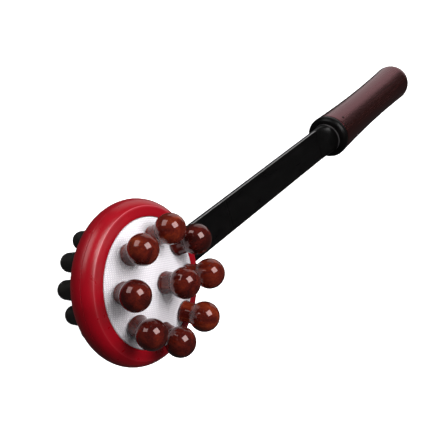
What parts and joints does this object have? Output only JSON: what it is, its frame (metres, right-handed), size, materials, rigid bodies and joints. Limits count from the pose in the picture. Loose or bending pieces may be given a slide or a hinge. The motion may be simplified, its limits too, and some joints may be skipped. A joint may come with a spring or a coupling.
{
  "type": "flexible tapping massager",
  "caption": "Hand massager with a round padded head, turned ball knobs in front, rubber nubs behind, a springy flat bar and a turned wooden grip.",
  "frame": {"origin": "centre of the bounding box's bottom face, which is the plane that the rubber nubs lie on", "axes": "+X from the head towards the tip of the grip, +Z out of the padded front with the knobs, +Y across the flat bar"},
  "size_m": [0.421, 0.0954, 0.0734],
  "materials": {
    "red_plastic": "glossy moulded plastic",
    "core_wood": "plain sanded wood, hidden",
    "foam": "soft open foam, hidden",
    "white_cloth": "fine woven cloth, matt",
    "black_rubber": "satin moulded rubber",
    "lacquered_wood": "dark red-brown wood under gloss lacquer",
    "screw_steel": "zinc-plated steel",
    "spring_steel": "rolled spring steel, hidden",
    "black_sleeve": "satin black rubberised sleeve",
    "black_ferrule": "glossy black moulded plastic",
    "grip_wood": "satin brown-purple stained wood",
    "pin_steel": "dark blunt pin heads"
  },
  "bodies": {
    "grip": {"ferrule": "black_ferrule", "wood_grip": "grip_wood", "grip_pin_1": "pin_steel", "grip_pin_2": "pin_steel"},
    "bar": {"bar_sleeve": "black_sleeve", "spring_strip": "spring_steel"},
    "head": {"rim_front": "red_plastic", "rim_back": "red_plastic", "head_core": "core_wood", "pad_foam": "foam", "pad_cloth": "white_cloth", "nub_pad": "black_rubber", "knob_center": "lacquered_wood", "knob_1": "lacquered_wood", "knob_2": "lacquered_wood", "knob_3": "lacquered_wood", "knob_4": "lacquered_wood", "knob_5": "lacquered_wood", "knob_6": "lacquered_wood", "knob_7": "lacquered_wood", "knob_8": "lacquered_wood", "knob_screw_center": "screw_steel", "knob_screw_1": "screw_steel", "knob_screw_2": "screw_steel", "knob_screw_3": "screw_steel", "knob_screw_4": "screw_steel", "knob_screw_5": "screw_steel", "knob_screw_6": "screw_steel", "knob_screw_7": "screw_steel", "knob_screw_8": "screw_steel", "case_screw_1": "screw_steel", "case_screw_2": "screw_steel", "case_screw_3": "screw_steel", "case_screw_4": "screw_steel", "clamp_screw_1": "screw_steel", "clamp_screw_2": "screw_steel"}
  },
  "joints": [
    {"name": "bar_root_flex", "type": "hinge", "parent": "grip", "child": "bar", "pos_m": [0.04975, 0, 0.0339], "axis": [0, 1, 0], "range_deg": [-8, 8], "stiffness_Nm_per_rad": 10, "deforming": ["spring_strip"]},
    {"name": "bar_tip_flex", "type": "hinge", "parent": "bar", "child": "head", "pos_m": [-0.11505, 0, 0.0339], "axis": [0, 1, 0], "range_deg": [-8, 8], "stiffness_Nm_per_rad": 10, "deforming": ["spring_strip"]}
  ],
  "couplings": [
    {"joint": "bar_tip_flex", "follows": "bar_root_flex", "ratio": 1}
  ]
}
